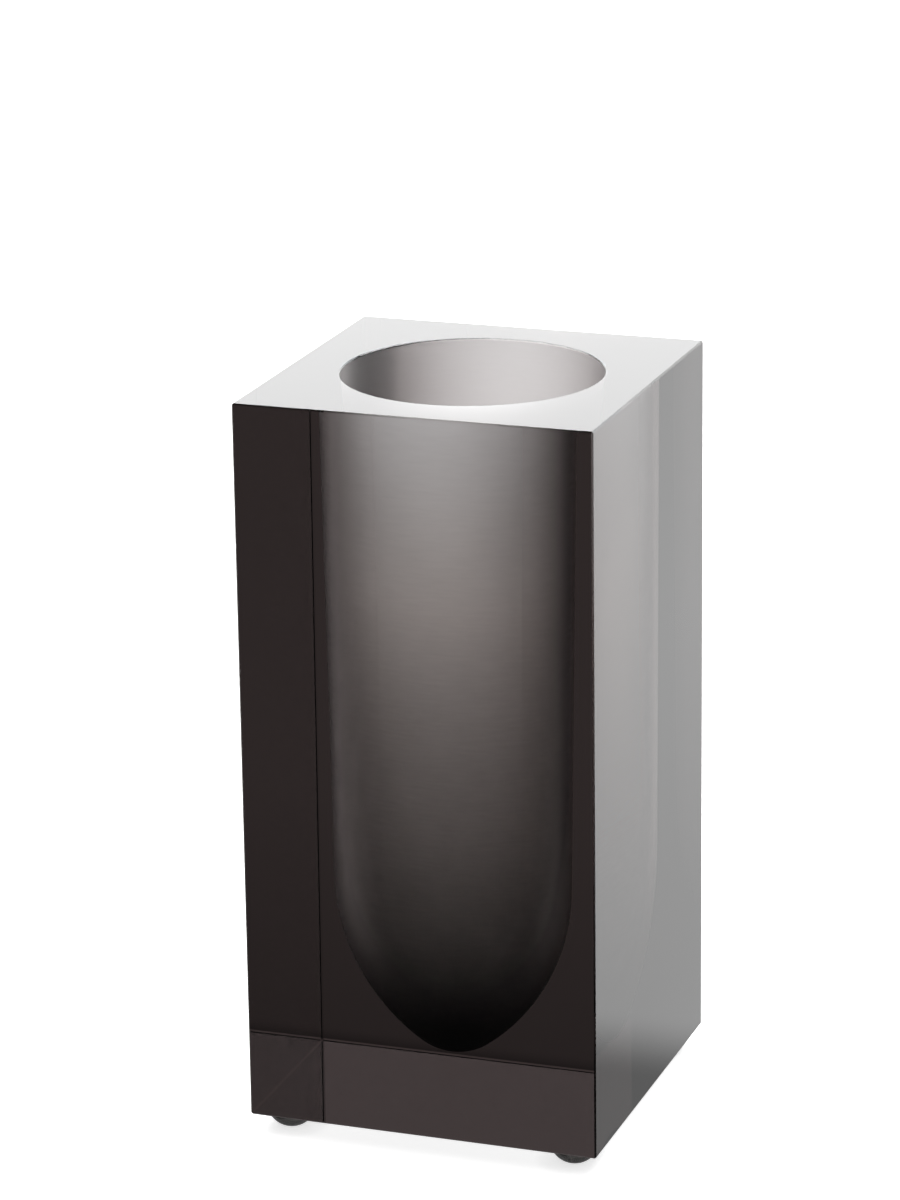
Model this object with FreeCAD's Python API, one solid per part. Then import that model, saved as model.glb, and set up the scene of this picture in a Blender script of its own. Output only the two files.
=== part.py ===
import FreeCAD, Part
import math
import os

# A toothbrush holder: one solid block of smoke-tinted cast acrylic with a round blind pocket,
# standing on four clear bumper feet that are stuck on with adhesive discs.
# Millimetres, +Z up. The origin is on the surface that the feet stand on, under the block's middle.

# Block, square in plan
block_width = 69.0
block_height = 140.0
edge_bevel = 0.4  # polished flat on every outer edge

# Pocket: a round wall with a slight draft, a long shoulder arc and a round tip, all tangent,
# and a bevelled rim
mouth_diameter = 49.2  # where the drafted wall would meet the top face
mouth_bevel = 0.5
wall_draft = 0.82  # degrees from upright, so the pocket narrows as it goes down
shoulder_radius = 40.0
tip_radius = 11.7
floor_thickness = 9.8  # acrylic left between the tip and the bottom face
cut_overrun = 2.0  # how far the pocket's cutter stands above the top face

# Bumper feet, one near each corner
foot_diameter = 9.0
foot_height = 3.2
foot_skirt = 0.7  # upright band next to the block, above the dome
contact_diameter = 4.0  # flat that the foot stands on
foot_margin = 1.6  # from the block's side to the foot's skirt

# Adhesive discs between the feet and the block
adhesive_thickness = 0.15
adhesive_setback = 0.3  # the adhesive stops this far inside the foot's skirt

# Levels and places that follow from the sizes above
block_bottom = foot_height + adhesive_thickness
block_top = block_bottom + block_height
foot_offset = block_width / 2 - foot_margin - foot_diameter / 2
vertical = FreeCAD.Vector(0, 0, 1)
origin = FreeCAD.Vector(0, 0, 0)


def profile_point(radius, height):
    """A point of a turned profile, in the plane Y = 0."""
    return FreeCAD.Vector(radius, 0, height)


def middle_of_arc(centre, start, end):
    """The point halfway along the short arc from start to end around centre."""
    outward = (start - centre) + (end - centre)
    outward.normalize()
    return centre + outward * start.distanceToPoint(centre)


def arc_between(centre, start, end):
    """The short arc from start to end around centre."""
    return Part.Arc(start, middle_of_arc(centre, start, end), end)


def turned(curves):
    """The solid that a closed profile sweeps around the vertical axis."""
    wire = Part.Wire([curve.toShape() for curve in curves])
    return Part.Face(wire).revolve(origin, vertical, 360)


def pocket_cutter():
    """The space inside the pocket, from above the mouth down to the tip."""
    draft = math.radians(wall_draft)
    mouth = profile_point(mouth_diameter / 2, block_top)
    down_wall = profile_point(-math.sin(draft), -math.cos(draft))
    inward = profile_point(-math.cos(draft), math.sin(draft))

    # The shoulder's centre lies on a line parallel to the wall, one shoulder radius inside it.
    # It stops where the shoulder arc and the tip arc touch from inside.
    tip = profile_point(0, block_bottom + floor_thickness)
    tip_centre = tip + vertical * tip_radius
    apart = shoulder_radius - tip_radius
    gap = mouth + inward * shoulder_radius - tip_centre
    along = gap.dot(down_wall)
    wall_length = -along - math.sqrt(along ** 2 - gap.dot(gap) + apart ** 2)

    # The shoulder is drawn as two equal arcs on one circle, because it turns so far.
    shoulder_start = mouth + down_wall * wall_length
    shoulder_centre = shoulder_start + inward * shoulder_radius
    tip_start = tip_centre + (tip_centre - shoulder_centre) * (tip_radius / apart)
    shoulder_middle = middle_of_arc(shoulder_centre, shoulder_start, tip_start)

    # The rim's bevel goes on past the top face, so that the cut leaves nothing behind.
    bevel_start = mouth + down_wall * (mouth_bevel / math.cos(draft))
    bevel_end = bevel_start + profile_point(1, 1) * (mouth_bevel + cut_overrun)
    axis_end = profile_point(0, bevel_end.z)
    return turned([
        Part.LineSegment(axis_end, bevel_end),
        Part.LineSegment(bevel_end, bevel_start),
        Part.LineSegment(bevel_start, shoulder_start),
        arc_between(shoulder_centre, shoulder_start, shoulder_middle),
        arc_between(shoulder_centre, shoulder_middle, tip_start),
        arc_between(tip_centre, tip_start, tip),
        Part.LineSegment(tip, axis_end),
    ])


def acrylic_block():
    """The block with its bevelled edges and the pocket cut into its top."""
    corner = FreeCAD.Vector(-block_width / 2, -block_width / 2, block_bottom)
    bar = Part.makeBox(block_width, block_width, block_height, corner)
    return bar.makeChamfer(edge_bevel, bar.Edges).cut(pocket_cutter())


def bumper_foot():
    """One foot on the vertical axis: a skirt, a spherical dome and the flat that it stands on."""
    foot_radius = foot_diameter / 2
    contact_radius = contact_diameter / 2
    dome_height = foot_height - foot_skirt
    sphere_level = (foot_radius ** 2 - contact_radius ** 2 + dome_height ** 2) / (2 * dome_height)

    back_centre = profile_point(0, foot_height)
    back_edge = profile_point(foot_radius, foot_height)
    skirt_end = profile_point(foot_radius, dome_height)
    contact_edge = profile_point(contact_radius, 0)
    return turned([
        Part.LineSegment(back_centre, back_edge),
        Part.LineSegment(back_edge, skirt_end),
        arc_between(profile_point(0, sphere_level), skirt_end, contact_edge),
        Part.LineSegment(contact_edge, origin),
        Part.LineSegment(origin, back_centre),
    ])


def adhesive_disc():
    """One disc on the vertical axis, filling the gap between a foot and the block."""
    radius = foot_diameter / 2 - adhesive_setback
    return Part.makeCylinder(radius, adhesive_thickness, FreeCAD.Vector(0, 0, foot_height))


corners = {
    "front_left": (-1, -1),
    "front_right": (1, -1),
    "back_left": (-1, 1),
    "back_right": (1, 1),
}

pieces = {"acrylic_block": acrylic_block()}
for corner_name, (side, depth) in corners.items():
    place = FreeCAD.Vector(side * foot_offset, depth * foot_offset, 0)
    pieces[corner_name + "_foot"] = bumper_foot().translated(place)
    pieces[corner_name + "_adhesive_disc"] = adhesive_disc().translated(place)

os.makedirs("parts", exist_ok=True)
for name, shape in pieces.items():
    shape.exportStep("parts/" + name + ".step")
    print(name, "valid", shape.isValid(), "solids", len(shape.Solids), "volume %.1f mm3" % shape.Volume)
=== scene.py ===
import math

import bmesh
import bpy
from mathutils import Matrix, Vector


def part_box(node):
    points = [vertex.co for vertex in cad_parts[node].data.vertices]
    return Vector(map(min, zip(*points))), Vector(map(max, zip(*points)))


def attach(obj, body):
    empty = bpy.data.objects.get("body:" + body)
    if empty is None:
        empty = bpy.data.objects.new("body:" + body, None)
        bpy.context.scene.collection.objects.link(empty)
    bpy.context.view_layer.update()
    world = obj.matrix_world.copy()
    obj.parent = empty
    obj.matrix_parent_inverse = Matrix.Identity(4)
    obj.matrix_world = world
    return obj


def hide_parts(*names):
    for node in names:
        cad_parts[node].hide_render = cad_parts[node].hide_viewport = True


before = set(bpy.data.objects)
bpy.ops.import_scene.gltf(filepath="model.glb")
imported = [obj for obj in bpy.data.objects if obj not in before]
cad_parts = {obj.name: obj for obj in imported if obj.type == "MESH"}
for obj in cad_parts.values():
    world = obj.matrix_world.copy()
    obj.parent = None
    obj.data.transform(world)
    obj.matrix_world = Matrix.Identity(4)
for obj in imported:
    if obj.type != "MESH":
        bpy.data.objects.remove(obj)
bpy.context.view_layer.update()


# The block: one piece of smoke-tinted cast acrylic, sawn square, with all its faces and edges polished clear.
# The pocket is bored into the top with a bullet-nosed cutter. Its wall keeps the satin finish of the boring,
# which spreads the light that falls in through the mouth, and the rim is rounded and polished.
block_low, block_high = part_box("acrylic_block")
block_span = block_high - block_low
polished_edge = 0.0003
pocket_floor = 0.0098
tip_radius = 0.0117
tip_turn = math.radians(36.35)
shoulder_radius = 0.040
wall_draft = math.radians(0.82)
mouth_round = 0.0005
arc_steps = 28
mouth_round_steps = 6
round_steps = 256
weld = 1e-6
across = Vector((0, 1, 0))
upright = Vector((0, 0, 1))


def draw_arc(form, start, centre, axis, turn, steps):
    """Carries an outline on from its last point along an arc, and returns the arc's end."""
    drawn = bmesh.ops.spin(form, geom=[start], cent=centre, axis=axis, angle=turn, steps=steps)
    return next(item for item in drawn["geom_last"] if isinstance(item, bmesh.types.BMVert))


def draw_line(form, start, place):
    """Carries an outline on from its last point along a straight line, and returns the line's end."""
    end = form.verts.new(place)
    form.edges.new((start, end))
    return end


def turn_outline(form, centre, steps):
    """Turns the drawn outline once around an upright axis and closes its seam and poles."""
    wire = [edge for edge in form.edges if edge.is_wire]
    points = {vert for edge in wire for vert in edge.verts}
    bmesh.ops.spin(
        form, geom=wire + list(points), cent=centre, axis=upright, angle=2 * math.pi, steps=steps, use_merge=True
    )
    bmesh.ops.remove_doubles(form, verts=form.verts[:], dist=weld)


def keep_form(form, name):
    """Turns the normals outward and makes an object of the form."""
    bmesh.ops.recalc_face_normals(form, faces=form.faces[:])
    mesh = bpy.data.meshes.new(name)
    form.to_mesh(mesh)
    form.free()
    piece = bpy.data.objects.new(name, mesh)
    bpy.context.scene.collection.objects.link(piece)
    return piece


block_form = bmesh.new()
block_place = Matrix.Translation((block_low + block_high) / 2) @ Matrix.Diagonal((*block_span, 1))
bmesh.ops.create_cube(block_form, size=1, matrix=block_place)
bmesh.ops.bevel(
    block_form, geom=block_form.edges[:], offset=polished_edge, offset_type="OFFSET",
    affect="EDGES", segments=1, profile=0.5, material=-1,
)
top_face = max(block_form.faces, key=lambda face: face.calc_center_median().z)
bmesh.ops.delete(block_form, geom=[top_face], context="FACES_ONLY")

# The outline runs up from the tip: tip arc, shoulder arc, drafted wall, rounded mouth.
tip = Vector((0, 0, block_low.z + pocket_floor))
tip_centre = tip + upright * tip_radius
tip_end = draw_arc(block_form, block_form.verts.new(tip), tip_centre, -across, tip_turn, arc_steps)
shoulder_centre = tip_end.co.lerp(tip_centre, shoulder_radius / tip_radius)
shoulder_turn = math.pi / 2 - wall_draft - tip_turn
shoulder_end = draw_arc(block_form, tip_end, shoulder_centre, -across, shoulder_turn, arc_steps)
up_wall = Vector((math.sin(wall_draft), 0, math.cos(wall_draft)))
out_of_wall = Vector((math.cos(wall_draft), 0, -math.sin(wall_draft)))
wall_rise = block_high.z - mouth_round * (1 - math.sin(wall_draft)) - shoulder_end.co.z
wall_end = draw_line(block_form, shoulder_end, shoulder_end.co + up_wall * (wall_rise / up_wall.z))
wall_radius = wall_end.co.x
round_centre = wall_end.co + out_of_wall * mouth_round
mouth_end = draw_arc(block_form, wall_end, round_centre, across, math.pi / 2 - wall_draft, mouth_round_steps)
mouth_radius = mouth_end.co.x
turn_outline(block_form, (0, 0, 0), round_steps)
mouth_border = [edge for edge in block_form.edges if edge.is_boundary]
bmesh.ops.triangle_fill(block_form, edges=mouth_border, use_beauty=True, normal=upright)

# The six large faces and the polished edges stay flat up to sharp borders, and the pocket is shaded round.
nearly_straight = 0.9999
sharp_turn = math.radians(20)


def is_flat(face):
    """Whether a face lies in one of the six large flat sides, and not in the pocket."""
    middle = face.calc_center_median()
    within_pocket = middle.xy.length < mouth_radius and tip.z - pocket_floor / 2 < middle.z < block_high.z - weld
    return max(abs(part) for part in face.normal) > nearly_straight and not within_pocket


block_form.normal_update()
flat_faces = {face for face in block_form.faces if is_flat(face)}
for edge in block_form.edges:
    sides = [face in flat_faces for face in edge.link_faces]
    edge.smooth = (all(sides) or not any(sides)) and edge.calc_face_angle(0) < sharp_turn
for face in block_form.faces:
    face.smooth = True
smoke_block = keep_form(block_form, "smoke_block")


def put(tree, kind, inputs, **settings):
    """Adds a shader node. Each input takes a plain value or another node's output."""
    node = tree.nodes.new("ShaderNode" + kind)
    for name, value in settings.items():
        setattr(node, name, value)
    for name, value in inputs.items():
        if isinstance(value, bpy.types.NodeSocket):
            tree.links.new(value, node.inputs[name])
        else:
            node.inputs[name].default_value = value
    return node


def reckon(tree, operation, first, second):
    """The result of a sum on two values."""
    return put(tree, "Math", {0: first, 1: second}, operation=operation).outputs["Value"]


def graded(tree, value, start, end, at_start, at_end, interpolation="LINEAR"):
    """A value that goes from one level to another while the given one goes from start to end."""
    inputs = {"Value": value, "From Min": start, "From Max": end, "To Min": at_start, "To Max": at_end}
    return put(tree, "MapRange", inputs, interpolation_type=interpolation).outputs["Result"]


def between(tree, share, first, second):
    """A value between two others, by a share."""
    return put(tree, "Mix", {"Factor": share, "A": first, "B": second}, data_type="FLOAT").outputs["Result"]


def blended(tree, share, first, second):
    """A colour between two others, by a share."""
    return put(tree, "MixRGB", {"Fac": share, "Color1": first, "Color2": second}).outputs["Color"]


def away_from_axis(tree, part):
    """How far a point lies from the upright axis."""
    level_part = put(tree, "CombineXYZ", {"X": part["X"], "Y": part["Y"]}).outputs["Vector"]
    return put(tree, "VectorMath", {0: level_part}, operation="LENGTH").outputs["Value"]


# Handling haze, shared by the clear plastics: soft smudges, and the slow ripple that polishing or casting leaves.
haze_group = bpy.data.node_groups.new("handling_haze", "ShaderNodeTree")
haze_group.interface.new_socket("Place", in_out="INPUT", socket_type="NodeSocketVector")
haze_group.interface.new_socket("Smudge Scale", in_out="INPUT", socket_type="NodeSocketFloat")
haze_group.interface.new_socket("Ripple Scale", in_out="INPUT", socket_type="NodeSocketFloat")
haze_group.interface.new_socket("Smudge", in_out="OUTPUT", socket_type="NodeSocketFloat")
haze_group.interface.new_socket("Ripple", in_out="OUTPUT", socket_type="NodeSocketFloat")
haze_in = haze_group.nodes.new("NodeGroupInput").outputs
smudges = put(
    haze_group, "TexNoise",
    {"Vector": haze_in["Place"], "Scale": haze_in["Smudge Scale"], "Detail": 5, "Roughness": 0.6, "Distortion": 0.6},
)
smudge_band = (0.42, 0.78)
smudge = graded(haze_group, smudges.outputs["Fac"], *smudge_band, 0, 1)
ripples = put(
    haze_group, "TexNoise", {"Vector": haze_in["Place"], "Scale": haze_in["Ripple Scale"], "Detail": 1, "Roughness": 0.3}
)
haze_out = haze_group.nodes.new("NodeGroupOutput").inputs
haze_group.links.new(smudge, haze_out["Smudge"])
haze_group.links.new(ripples.outputs["Fac"], haze_out["Ripple"])


def add_haze(tree, place, smudge_scale, ripple_scale):
    """Places the shared haze in a material with its own scales."""
    haze = tree.nodes.new("ShaderNodeGroup")
    haze.node_tree = haze_group
    tree.links.new(place, haze.inputs["Place"])
    haze.inputs["Smudge Scale"].default_value = smudge_scale
    haze.inputs["Ripple Scale"].default_value = ripple_scale
    return haze.outputs


clear_white = (1, 1, 1, 1)
smudged_white = (0.97, 0.965, 0.96, 1)
smoke_colour = (0.20, 0.146, 0.142, 1)
smoke_density = 71
smoke_acrylic = bpy.data.materials.new("smoke_acrylic")
smoke_acrylic.use_nodes = True
tree = smoke_acrylic.node_tree
acrylic = tree.nodes["Principled BSDF"]
acrylic.inputs["Transmission Weight"].default_value = 1
acrylic.inputs["IOR"].default_value = 1.62
smoke = put(tree, "VolumeAbsorption", {"Color": smoke_colour, "Density": smoke_density})
tree.links.new(smoke.outputs["Volume"], tree.nodes["Material Output"].inputs["Volume"])
place = put(tree, "TexCoord", {}).outputs["Object"]
haze = add_haze(tree, place, smudge_scale=45, ripple_scale=30)

# Where the pocket's wall is: nearer to the axis than the rim, and above the floor of the pocket.
part = put(tree, "SeparateXYZ", {"Vector": place}).outputs
within_rim = reckon(tree, "LESS_THAN", away_from_axis(tree, part), wall_radius + mouth_round / 10)
above_floor = reckon(tree, "GREATER_THAN", part["Z"], block_low.z + pocket_floor / 2)
in_pocket = reckon(tree, "MULTIPLY", within_rim, above_floor)

# Faint rings and grain from the boring, which vary how far the satin spreads the light.
ring_scale = (220, 220, 2400)
ring_band = (0.3, 0.7)
polish_roughness = (0, 0.02)
satin_roughness = (0.45, 0.53)
ring_place = put(tree, "Mapping", {"Vector": place, "Scale": ring_scale}).outputs["Vector"]
rings = put(tree, "TexNoise", {"Vector": ring_place, "Scale": 1, "Detail": 3, "Roughness": 0.55}).outputs["Fac"]
polish = graded(tree, haze["Smudge"], 0, 1, *polish_roughness)
satin = graded(tree, rings, *ring_band, *satin_roughness)
tree.links.new(between(tree, in_pocket, polish, satin), acrylic.inputs["Roughness"])
tree.links.new(blended(tree, haze["Smudge"], clear_white, smudged_white), acrylic.inputs["Base Color"])
ring_height = reckon(tree, "MULTIPLY", rings, in_pocket)
ring_relief = put(tree, "Bump", {"Height": ring_height, "Strength": 0.06, "Distance": 0.00005}).outputs["Normal"]
relief = put(
    tree, "Bump", {"Height": haze["Ripple"], "Strength": 0.15, "Distance": 0.00003, "Normal": ring_relief}
).outputs["Normal"]
tree.links.new(relief, acrylic.inputs["Normal"])

# Painted shade darkens the nose: towards it the satin passes on less light. Away from the mouth the light that it
# passes on grows warmer, fully so 40 mm below the top.
full_nose_shade_height = 0.003
nose_shade_end_height = 0.055
untinted_depth = 0.04
satin_tint = (1, 0.935, 0.895, 1)
passed_from_air = 0.68
passed_from_acrylic = 0.74
thrown_share = 0.25
grain_levels = (0.97, 1.03)
clear_of_painted_nose_shade = graded(tree, part["Z"], tip.z + full_nose_shade_height, tip.z + nose_shade_end_height, 0, 1, "SMOOTHSTEP")
tinted = graded(tree, part["Z"], block_high.z - untinted_depth, block_high.z, 1, 0)
satin_colour = blended(tree, tinted, clear_white, satin_tint)
through_acrylic = put(tree, "NewGeometry", {}).outputs["Backfacing"]
pass_share = between(tree, through_acrylic, passed_from_air, passed_from_acrylic)
grain = graded(tree, rings, *ring_band, *grain_levels)
passed_on = reckon(tree, "MULTIPLY", reckon(tree, "MULTIPLY", pass_share, grain), clear_of_painted_nose_shade)
passed_colour = put(tree, "VectorMath", {0: satin_colour, "Scale": passed_on}, operation="SCALE").outputs["Vector"]
thrown_back = reckon(tree, "MULTIPLY", grain, thrown_share)
spread_through = put(tree, "BsdfTranslucent", {"Color": passed_colour, "Normal": relief})
spread_back = put(tree, "BsdfDiffuse", {"Color": thrown_back, "Normal": relief})
spread = put(tree, "AddShader", {0: spread_through.outputs["BSDF"], 1: spread_back.outputs["BSDF"]})

# Seen through the acrylic, the satin is finer near the mouth, and at a slant it mirrors like polished acrylic.
# Seen from inside the pocket it is clearer.
finer_depth = 0.07
finest_share = 0.65
slant_band = (0.15, 0.75)
share_from_air = 0.29
finer = graded(tree, part["Z"], block_high.z - finer_depth, block_high.z, 1, finest_share, "SMOOTHSTEP")
slant = put(tree, "LayerWeight", {"Blend": 0.5}).outputs["Facing"]
square_on = graded(tree, slant, *slant_band, 1, 0, "SMOOTHSTEP")
# Near the nose the satin keeps its full share at a slant too, as part of the painted shade there.
nose = reckon(tree, "SUBTRACT", 1, clear_of_painted_nose_shade)
share_from_acrylic = reckon(tree, "MULTIPLY", finer, reckon(tree, "MAXIMUM", square_on, nose))
satin_share = reckon(tree, "MULTIPLY", in_pocket, between(tree, through_acrylic, share_from_air, share_from_acrylic))
surface = put(tree, "MixShader", {0: satin_share, 1: acrylic.outputs["BSDF"], 2: spread.outputs["Shader"]})
tree.links.new(surface.outputs["Shader"], tree.nodes["Material Output"].inputs["Surface"])
smoke_block.data.materials.append(smoke_acrylic)
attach(smoke_block, "root")
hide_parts("acrylic_block")


# The feet: four clear bumpers cast in soft polyurethane, each a low dome with a short upright skirt
# and a small flat that it stands on. Each is stuck under a corner of the block, clear of its edges.
corners = ("front_left", "front_right", "back_left", "back_right")
skirt_height = 0.0007
contact_radius = 0.002
skirt_round = 0.00015
dome_steps = 20
skirt_round_steps = 3
foot_round_steps = 96
foot_sharp_turn = math.radians(15)
bumper_tint = (0.72, 0.70, 0.69, 1)
bumper_density = 350
smudged_bumper = (0.93, 0.93, 0.91, 1)
bumper_roughness = (0.01, 0.05)

clear_bumper = bpy.data.materials.new("clear_bumper")
clear_bumper.use_nodes = True
tree = clear_bumper.node_tree
bumper = tree.nodes["Principled BSDF"]
bumper.inputs["Transmission Weight"].default_value = 1
bumper.inputs["IOR"].default_value = 1.5
faint_tint = put(tree, "VolumeAbsorption", {"Color": bumper_tint, "Density": bumper_density})
tree.links.new(faint_tint.outputs["Volume"], tree.nodes["Material Output"].inputs["Volume"])
place = put(tree, "TexCoord", {}).outputs["Object"]
haze = add_haze(tree, place, smudge_scale=900, ripple_scale=350)
tree.links.new(graded(tree, haze["Smudge"], 0, 1, *bumper_roughness), bumper.inputs["Roughness"])
tree.links.new(blended(tree, haze["Smudge"], clear_white, smudged_bumper), bumper.inputs["Base Color"])
relief = put(tree, "Bump", {"Height": haze["Ripple"], "Strength": 0.25, "Distance": 0.00006}).outputs["Normal"]
tree.links.new(relief, bumper.inputs["Normal"])


def shade_round(form, turn):
    """Shades a form round between the edges where it turns more sharply than this."""
    for face in form.faces:
        face.smooth = True
    for edge in form.edges:
        edge.smooth = edge.calc_face_angle(0) < turn


for corner in corners:
    foot_low, foot_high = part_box(corner + "_foot")
    foot_radius = (foot_high.x - foot_low.x) / 2
    axis_foot = Vector(((foot_low.x + foot_high.x) / 2, (foot_low.y + foot_high.y) / 2, foot_low.z))
    dome_height = foot_high.z - foot_low.z - skirt_height
    sphere_level = (foot_radius ** 2 - contact_radius ** 2 + dome_height ** 2) / (2 * dome_height)
    dome_turn = math.atan2(foot_radius, sphere_level - dome_height) - math.atan2(contact_radius, sphere_level)
    foot_form = bmesh.new()
    line = foot_form.verts.new(axis_foot)
    line = draw_line(foot_form, line, axis_foot + Vector((contact_radius, 0, 0)))
    line = draw_arc(foot_form, line, axis_foot + upright * sphere_level, -across, dome_turn, dome_steps)
    skirt_top = axis_foot + Vector((foot_radius, 0, foot_high.z - foot_low.z - skirt_round))
    line = draw_line(foot_form, line, skirt_top)
    skirt_centre = skirt_top - Vector((skirt_round, 0, 0))
    line = draw_arc(foot_form, line, skirt_centre, -across, math.pi / 2, skirt_round_steps)
    draw_line(foot_form, line, Vector((axis_foot.x, axis_foot.y, foot_high.z)))
    turn_outline(foot_form, axis_foot, foot_round_steps)
    shade_round(foot_form, foot_sharp_turn)
    bumper_foot = keep_form(foot_form, corner + "_bumper")
    bumper_foot.data.materials.append(clear_bumper)
    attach(bumper_foot, "root")
    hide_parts(corner + "_foot")


# The adhesive: a die-cut disc of clear pressure-sensitive adhesive between each foot and the block.
# It stays a hair's breadth clear of both, because it grips only in places and the block's bottom still mirrors.
adhesive_gap = 0.00001
adhesive_round = 0.00003
adhesive_round_steps = 3
adhesive_sharp_turn = math.radians(35)
adhesive_clear = (0.98, 0.98, 0.97, 1)
adhesive_cloudy = (0.88, 0.88, 0.85, 1)
adhesive_roughness = (0.12, 0.45)

clear_adhesive = bpy.data.materials.new("clear_adhesive")
clear_adhesive.use_nodes = True
tree = clear_adhesive.node_tree
adhesive = tree.nodes["Principled BSDF"]
adhesive.inputs["Transmission Weight"].default_value = 1
adhesive.inputs["IOR"].default_value = 1.47
place = put(tree, "TexCoord", {}).outputs["Object"]
haze = add_haze(tree, place, smudge_scale=1300, ripple_scale=700)
tree.links.new(graded(tree, haze["Smudge"], 0, 1, *adhesive_roughness), adhesive.inputs["Roughness"])
tree.links.new(blended(tree, haze["Smudge"], adhesive_clear, adhesive_cloudy), adhesive.inputs["Base Color"])
relief = put(tree, "Bump", {"Height": haze["Ripple"], "Strength": 0.3, "Distance": 0.00003}).outputs["Normal"]
tree.links.new(relief, adhesive.inputs["Normal"])

for corner in corners:
    disc_low, disc_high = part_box(corner + "_adhesive_disc")
    disc_radius = (disc_high.x - disc_low.x) / 2
    disc_centre = (disc_low + disc_high) / 2
    axis_disc = Vector((disc_centre.x, disc_centre.y, disc_low.z + adhesive_gap))
    disc_top = disc_high.z - adhesive_gap
    disc_form = bmesh.new()
    line = disc_form.verts.new(axis_disc)
    line = draw_line(disc_form, line, axis_disc + Vector((disc_radius - adhesive_round, 0, 0)))
    low_centre = line.co + upright * adhesive_round
    line = draw_arc(disc_form, line, low_centre, -across, math.pi / 2, adhesive_round_steps)
    line = draw_line(disc_form, line, Vector((line.co.x, line.co.y, disc_top - adhesive_round)))
    high_centre = line.co - Vector((adhesive_round, 0, 0))
    line = draw_arc(disc_form, line, high_centre, -across, math.pi / 2, adhesive_round_steps)
    draw_line(disc_form, line, Vector((axis_disc.x, axis_disc.y, disc_top)))
    turn_outline(disc_form, axis_disc, foot_round_steps)
    shade_round(disc_form, adhesive_sharp_turn)
    adhesive_disc = keep_form(disc_form, corner + "_adhesive")
    adhesive_disc.data.materials.append(clear_adhesive)
    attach(adhesive_disc, "root")
    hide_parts(corner + "_adhesive_disc")


# The floor: plain white paper. To the camera it is white, with a narrow shadow where the block and feet come close.
# In the polished faces and through the tint it glows with painted light, laid out as lit paper looks in a dim room:
# bright behind the block and on its left, and dark on the side of the camera.
floor_reach = 4
paper_colour = (0.85, 0.85, 0.85, 1)
floor_form = bmesh.new()
bmesh.ops.create_grid(floor_form, x_segments=1, y_segments=1, size=floor_reach)
floor = keep_form(floor_form, "floor")
pale_floor = bpy.data.materials.new("pale_floor")
pale_floor.use_nodes = True
tree = pale_floor.node_tree
paper = tree.nodes["Principled BSDF"]
paper.inputs["Base Color"].default_value = paper_colour
paper.inputs["Roughness"].default_value = 0.9
paper.inputs["Specular IOR Level"].default_value = 0
rays = put(tree, "LightPath", {}).outputs
place = put(tree, "TexCoord", {}).outputs["Object"]
part = put(tree, "SeparateXYZ", {"Vector": place}).outputs


def leaning(tree, place, reach, way):
    """How far a place on the floor lies towards a given way from the block, as a share of its distance."""
    along = put(tree, "VectorMath", {0: place, 1: way}, operation="DOT_PRODUCT").outputs["Value"]
    return reckon(tree, "DIVIDE", along, reach)


# In the polished faces: dark in front, grey beside the block and light behind it, and lighter further right.
beside_band = (-0.045, -0.02)
beside_levels = (0.03, 0.5)
behind_band = (0.012, 0.045)
behind_levels = (0, 0.9)
right_band = (0.04, 0.13)
right_levels = (0.80, 0.94)
beside = graded(tree, part["Y"], *beside_band, *beside_levels, "SMOOTHSTEP")
behind = graded(tree, part["Y"], *behind_band, *behind_levels, "SMOOTHSTEP")
to_the_right = graded(tree, part["X"], *right_band, *right_levels, "SMOOTHSTEP")
mirrored = reckon(tree, "MULTIPLY", reckon(tree, "ADD", beside, behind), to_the_right)

# Through the tint: brightest to the back and left. What reaches the satin comes from beside the block too.
bright_way = (-0.43, 0.9, 0)
bright_band = (-0.55, 0.45)
bright_levels = (0.03, 1)
satin_way = (-0.3, 0.95, 0)
satin_band = (-0.5, 0.1)
satin_levels = (0, 1.8)
reach = away_from_axis(tree, part)
bright = graded(tree, leaning(tree, place, reach, bright_way), *bright_band, *bright_levels, "SMOOTHSTEP")
on_satin = graded(tree, leaning(tree, place, reach, satin_way), *satin_band, *satin_levels, "SMOOTHSTEP")
from_satin = reckon(tree, "GREATER_THAN", rays["Diffuse Depth"], 0.5)
bearing = reckon(tree, "MAXIMUM", bright, reckon(tree, "MULTIPLY", from_satin, on_satin))

# The glow holds a painted shadow of the block: dark on the paper under it, and less so further out.
near_reach = block_high.x + 0.015
far_reach = block_high.x + 0.15
near_level = 1.25
far_level = 0.45
along_x = put(tree, "Math", {0: part["X"]}, operation="ABSOLUTE").outputs["Value"]
along_y = put(tree, "Math", {0: part["Y"]}, operation="ABSOLUTE").outputs["Value"]
aside = reckon(tree, "MAXIMUM", along_x, along_y)
near = graded(tree, aside, block_high.x, near_reach, 0, near_level, "SMOOTHSTEP")
far = graded(tree, aside, near_reach, far_reach, 0, far_level)
seen_through = reckon(tree, "MULTIPLY", bearing, reckon(tree, "ADD", near, far))

# A ray shows this glow the first time that it leaves the block. Later ones see dark paper.
in_glass = reckon(tree, "MAXIMUM", rays["Is Glossy Ray"], rays["Is Transmission Ray"])
by_reflection = reckon(tree, "SUBTRACT", in_glass, rays["Is Transmission Ray"])
shown = reckon(
    tree, "ADD", reckon(tree, "MULTIPLY", by_reflection, mirrored),
    reckon(tree, "MULTIPLY", rays["Is Transmission Ray"], seen_through),
)
first_look = reckon(
    tree, "MULTIPLY", reckon(tree, "LESS_THAN", rays["Diffuse Depth"], 1.5),
    reckon(tree, "LESS_THAN", rays["Transmission Depth"], 2.5),
)

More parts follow.
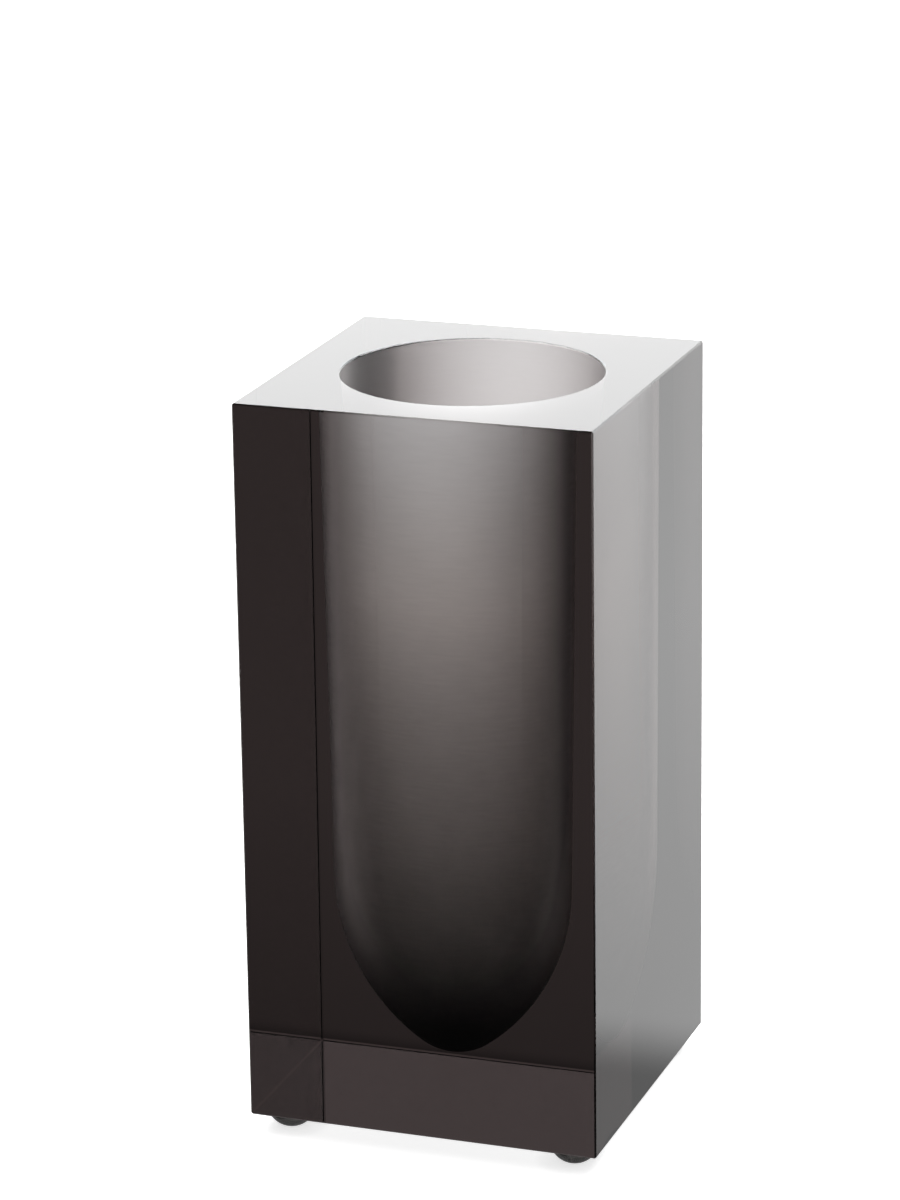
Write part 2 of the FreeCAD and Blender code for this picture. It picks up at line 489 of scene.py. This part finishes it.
# The narrow shadow under the block, in the white that the camera sees.
shadow_reach = 0.004
shadow_band = (0.3, 1)
shadow_levels = (0.75, 1)
openness = put(tree, "AmbientOcclusion", {"Distance": shadow_reach}).outputs["AO"]
white = reckon(tree, "MULTIPLY", rays["Is Camera Ray"], graded(tree, openness, *shadow_band, *shadow_levels))
glow = put(tree, "Emission", {"Strength": reckon(tree, "ADD", white, reckon(tree, "MULTIPLY", first_look, shown))})
no_light = put(tree, "BsdfDiffuse", {"Color": (0, 0, 0, 1)})
lit = put(tree, "MixShader", {0: in_glass, 1: paper.outputs["BSDF"], 2: no_light.outputs["BSDF"]})
whole = put(tree, "AddShader", {0: lit.outputs["Shader"], 1: glow.outputs["Emission"]})
tree.links.new(whole.outputs["Shader"], tree.nodes["Material Output"].inputs["Surface"])
floor.data.materials.append(pale_floor)


# The light: a wide panel behind, which the top face mirrors, and two cooler ones above it, which show in the tint.
# A high soft box and a small one overhead shine into the mouth. The rest of the room is dim, so the front face
# stays dark, and the camera sees white beyond the floor.
cool_light = (0.96, 1, 1.02)
into_pocket = (0, 0, 0.1)
room_band = (-0.3, 0.6)
room_levels = (0.02, 0.12)
camera_white = 1.0


def soft_box(name, middle, aim, width, height, radiance, colour=(1, 1, 1)):
    """Adds an area lamp of a given brightness per area, hidden from the camera."""
    lamp = bpy.data.lights.new(name, "AREA")
    lamp.shape = "RECTANGLE"
    lamp.size = width
    lamp.size_y = height
    lamp.energy = radiance * math.pi * width * height
    lamp.color = colour
    box = bpy.data.objects.new(name, lamp)
    bpy.context.scene.collection.objects.link(box)
    box.location = middle
    box.rotation_mode = "QUATERNION"
    box.rotation_quaternion = (Vector(aim) - Vector(middle)).to_track_quat("-Z", "Y")
    box.visible_camera = False


soft_box("back_panel", (-0.3, 1.5, 0.42), (-0.3, 0, 0.42), width=2.4, height=0.4, radiance=2.65)
soft_box(
    "upper_left_panel", (-0.75, 1.5, 0.87), (-0.75, 0, 0.87), width=1.5, height=0.5, radiance=3.7, colour=cool_light
)
soft_box(
    "upper_right_panel", (0.45, 1.5, 0.87), (0.45, 0, 0.87), width=0.9, height=0.5, radiance=2.4, colour=cool_light
)
soft_box("high_box", (-0.16, 0.83, 1.28), into_pocket, width=2.2, height=0.7, radiance=6.7)
soft_box("overhead_box", (-0.45, 0.15, 1.3), into_pocket, width=0.5, height=0.5, radiance=3.0)

studio = bpy.data.worlds.new("studio")
bpy.context.scene.world = studio
studio.use_nodes = True
tree = studio.node_tree
rays = put(tree, "LightPath", {}).outputs
heading = put(tree, "SeparateXYZ", {"Vector": put(tree, "TexCoord", {}).outputs["Generated"]}).outputs
dim = graded(tree, heading["Y"], *room_band, *room_levels)
background = tree.nodes["Background"]
background.inputs["Color"].default_value = clear_white
tree.links.new(between(tree, rays["Is Camera Ray"], dim, camera_white), background.inputs["Strength"])


# The camera: at the photograph's viewing angle, with a long lens, aimed a little left of the block's middle.
# It is fitted to the corners of the block.
azimuth = math.radians(19.6269)
elevation = math.radians(17.3386)
roll = math.radians(-0.7919)
distance = 0.8892
aim_height = 0.09885
aim_left = 0.00477
sensor_width = 36
focal_length = 141.41
side = Vector((math.cos(azimuth), math.sin(azimuth), 0))
back = Vector((math.sin(azimuth) * math.cos(elevation), -math.cos(azimuth) * math.cos(elevation), math.sin(elevation)))
rise = back.cross(side)
right = side * math.cos(roll) + rise * math.sin(roll)
up = rise * math.cos(roll) - side * math.sin(roll)
aim = upright * aim_height - side * aim_left
lens = bpy.data.cameras.new("camera")
lens.sensor_width = sensor_width
lens.lens = focal_length
camera = bpy.data.objects.new("camera", lens)
bpy.context.scene.collection.objects.link(camera)
camera.matrix_world = Matrix.Translation(aim + back * distance) @ Matrix((right, up, back)).transposed().to_4x4()
bpy.context.scene.camera = camera
bpy.context.scene.view_settings.view_transform = "Standard"
